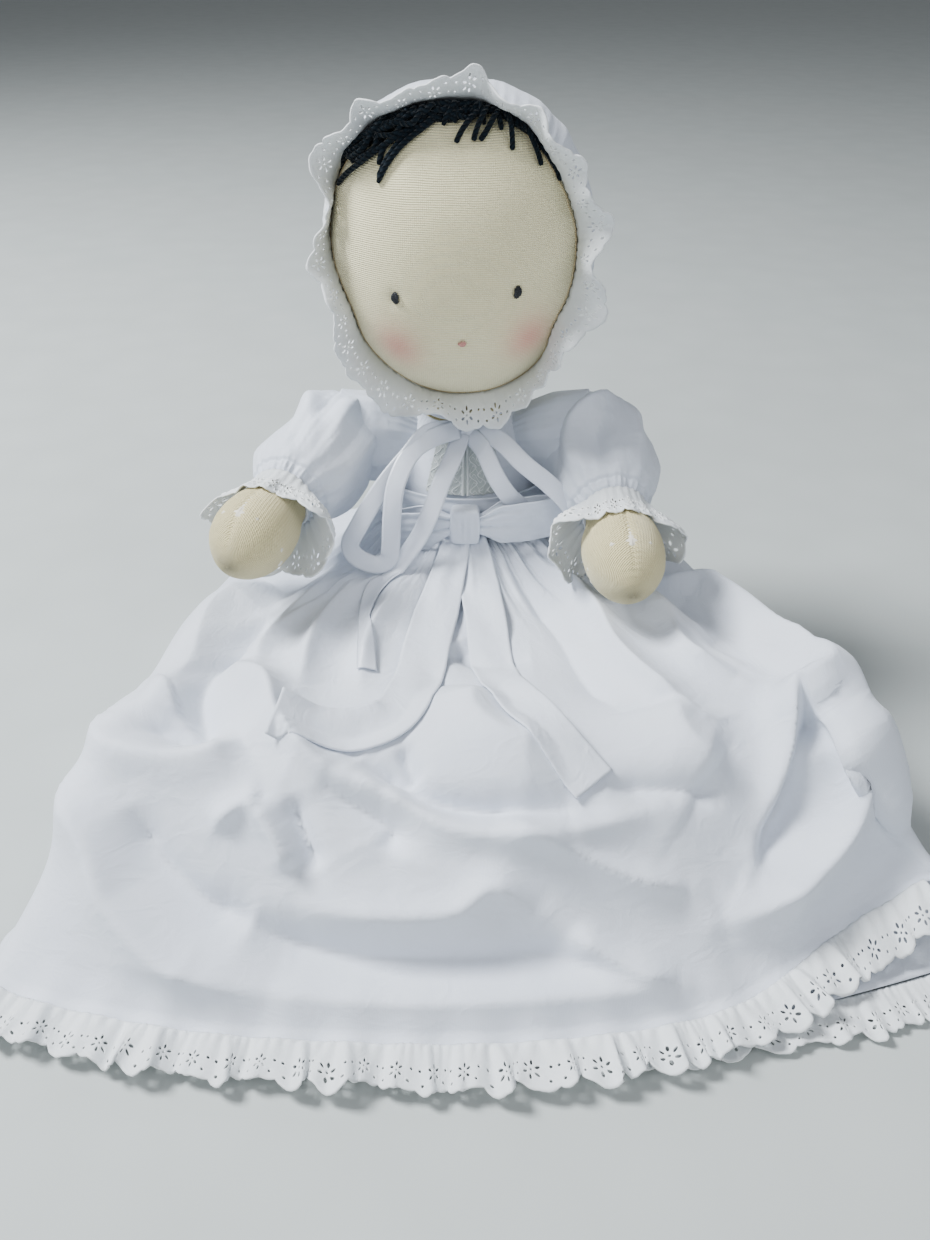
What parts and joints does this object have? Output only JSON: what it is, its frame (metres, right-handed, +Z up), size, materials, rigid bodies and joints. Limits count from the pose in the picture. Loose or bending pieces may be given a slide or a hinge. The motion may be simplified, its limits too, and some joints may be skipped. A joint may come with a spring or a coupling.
{
  "type": "weighted baby doll",
  "caption": "Soft cloth baby doll weighted with pellets, sitting, in a long white gown and an eyelet bonnet, with a head, arms and legs that move.",
  "frame": {"origin": "on the floor under the middle of the seat, on the flat underside of the gown", "axes": "+Z up, the doll faces -Y, its left side towards +X"},
  "size_m": [0.4618, 0.4063, 0.3542],
  "materials": {
    "velour": "cream cotton velour knit, brushed",
    "stuffing": "carded wool stuffing in gauze",
    "muslin": "plain woven muslin",
    "beads": "clear glass pellets packed together",
    "cotton": "white cotton lawn, matt",
    "eyelet": "white embroidered eyelet trim",
    "lace": "white cotton lace with tucks",
    "satin": "white satin ribbon",
    "yarn": "blue-black wool yarn",
    "thread_black": "black embroidery thread",
    "thread_pink": "pink embroidery thread",
    "twine": "cotton twine",
    "elastic": "round elastic cord, covered in thread",
    "button": "small polished shirt buttons"
  },
  "bodies": {
    "torso": {"torso_skin": "velour", "torso_stuffing": "stuffing", "weight_bag": "muslin", "bead_fill": "beads", "weight_bag_tie": "twine", "neck_tie_cord": "twine", "bodice_front": "cotton", "bodice_back_left": "cotton", "bodice_back_right": "cotton", "lace_panel": "lace", "neckband": "cotton", "back_button_1": "button", "back_button_2": "button", "back_button_3": "button", "sash_band": "cotton", "sash_knot": "cotton", "bow_loop_right": "cotton", "bow_loop_left": "cotton", "sash_tail_right": "cotton", "sash_tail_left": "cotton", "ribbon_knot": "satin", "ribbon_loop_right": "satin", "ribbon_loop_left": "satin", "ribbon_tail_right": "satin", "ribbon_tail_left": "satin", "skirt_front": "cotton", "skirt_back": "cotton", "hem_ruffle_front": "eyelet", "hem_ruffle_back": "eyelet"},
    "neck": {"neck_column": "stuffing"},
    "head": {"head_skin": "velour", "head_core": "stuffing", "right_eye": "thread_black", "left_eye": "thread_black", "mouth_stitch": "thread_pink", "hair_tuft": "yarn", "bonnet_band": "cotton", "bonnet_crown": "cotton", "bonnet_ruffle": "eyelet", "right_bonnet_tie": "satin", "left_bonnet_tie": "satin"},
    "right_shoulder": {"right_shoulder_gusset": "velour"},
    "right_arm": {"right_arm_skin": "velour", "right_arm_stuffing": "stuffing", "right_sleeve": "cotton", "right_cuff_elastic": "elastic", "right_cuff_ruffle": "eyelet"},
    "left_shoulder": {"left_shoulder_gusset": "velour"},
    "left_arm": {"left_arm_skin": "velour", "left_arm_stuffing": "stuffing", "left_sleeve": "cotton", "left_cuff_elastic": "elastic", "left_cuff_ruffle": "eyelet"},
    "lap": {"hip_gusset": "velour"},
    "right_leg": {"right_leg_skin": "velour", "right_leg_stuffing": "stuffing", "right_leg_bead_bag": "muslin"},
    "left_leg": {"left_leg_skin": "velour", "left_leg_stuffing": "stuffing", "left_leg_bead_bag": "muslin"}
  },
  "joints": [
    {"name": "head_turn", "type": "hinge", "parent": "torso", "child": "neck", "pos_m": [0, 0.02112, 0.199], "axis": [0, 0, 1], "range_deg": [-40, 40]},
    {"name": "head_nod", "type": "hinge", "parent": "neck", "child": "head", "pos_m": [0, 0.02112, 0.199], "axis": [1, 0, 0], "range_deg": [-15, 5]},
    {"name": "right_arm_spread", "type": "hinge", "parent": "torso", "child": "right_shoulder", "pos_m": [-0.075, 0.008, 0.155], "axis": [0, 0, -1], "range_deg": [-8, 35], "deforming": ["right_shoulder_gusset"]},
    {"name": "right_arm_raise", "type": "hinge", "parent": "right_shoulder", "child": "right_arm", "pos_m": [-0.075, 0.008, 0.155], "axis": [-0.9336, 0.3584, 0], "range_deg": [-6, 46]},
    {"name": "left_arm_spread", "type": "hinge", "parent": "torso", "child": "left_shoulder", "pos_m": [0.075, 0.008, 0.155], "axis": [0, 0, 1], "range_deg": [-4, 35], "deforming": ["left_shoulder_gusset"]},
    {"name": "left_arm_raise", "type": "hinge", "parent": "left_shoulder", "child": "left_arm", "pos_m": [0.075, 0.008, 0.155], "axis": [-0.9962, -0.0872, 0], "range_deg": [-2, 46]},
    {"name": "hip_fold", "type": "hinge", "parent": "torso", "child": "lap", "pos_m": [0, -0.044, 0.0324], "axis": [-1, 0, 0], "range_deg": [0, 16], "deforming": ["skirt_front", "skirt_back", "hem_ruffle_front", "hem_ruffle_back", "sash_tail_right", "sash_tail_left"]},
    {"name": "right_leg_spread", "type": "hinge", "parent": "lap", "child": "right_leg", "pos_m": [-0.038, -0.086, 0.0324], "axis": [0, 0, -1], "range_deg": [-3, 8]},
    {"name": "left_leg_spread", "type": "hinge", "parent": "lap", "child": "left_leg", "pos_m": [0.038, -0.086, 0.0324], "axis": [0, 0, 1], "range_deg": [-3, 8]}
  ]
}
